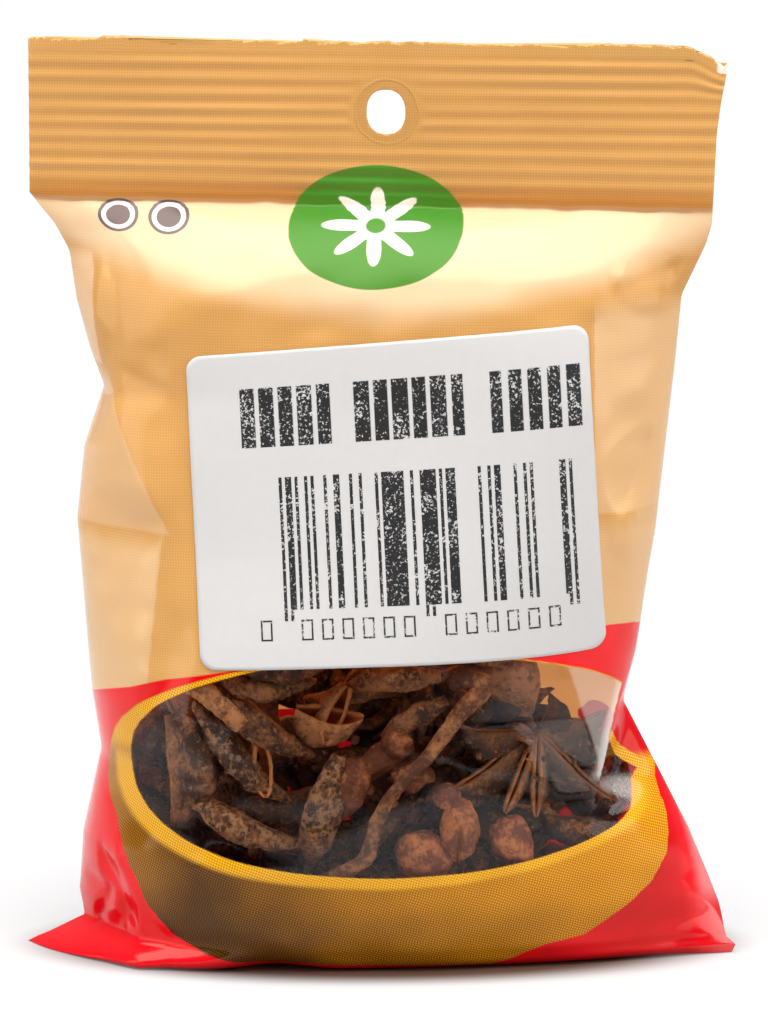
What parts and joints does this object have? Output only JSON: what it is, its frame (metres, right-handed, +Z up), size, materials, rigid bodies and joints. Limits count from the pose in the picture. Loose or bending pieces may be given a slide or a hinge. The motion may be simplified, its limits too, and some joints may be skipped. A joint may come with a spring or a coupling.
{
  "type": "spice pack",
  "caption": "Sealed film bag of dried star-shaped spice pods with a ribbed header, hang hole, clear window and paper label, standing on its folded bottom.",
  "frame": {"origin": "on the flat underside of the bag, on the floor under the middle of its width", "axes": "+Z up through the bag to the header, the printed front faces -Y, +X to the right seen from the front"},
  "size_m": [0.1037, 0.0432, 0.1323],
  "materials": {
    "film": "gloss",
    "label_paper": "satin",
    "dried_pods": "matte"
  },
  "bodies": {
    "root": {"pack": "film", "label": "label_paper"}
  },
  "joints": []
}
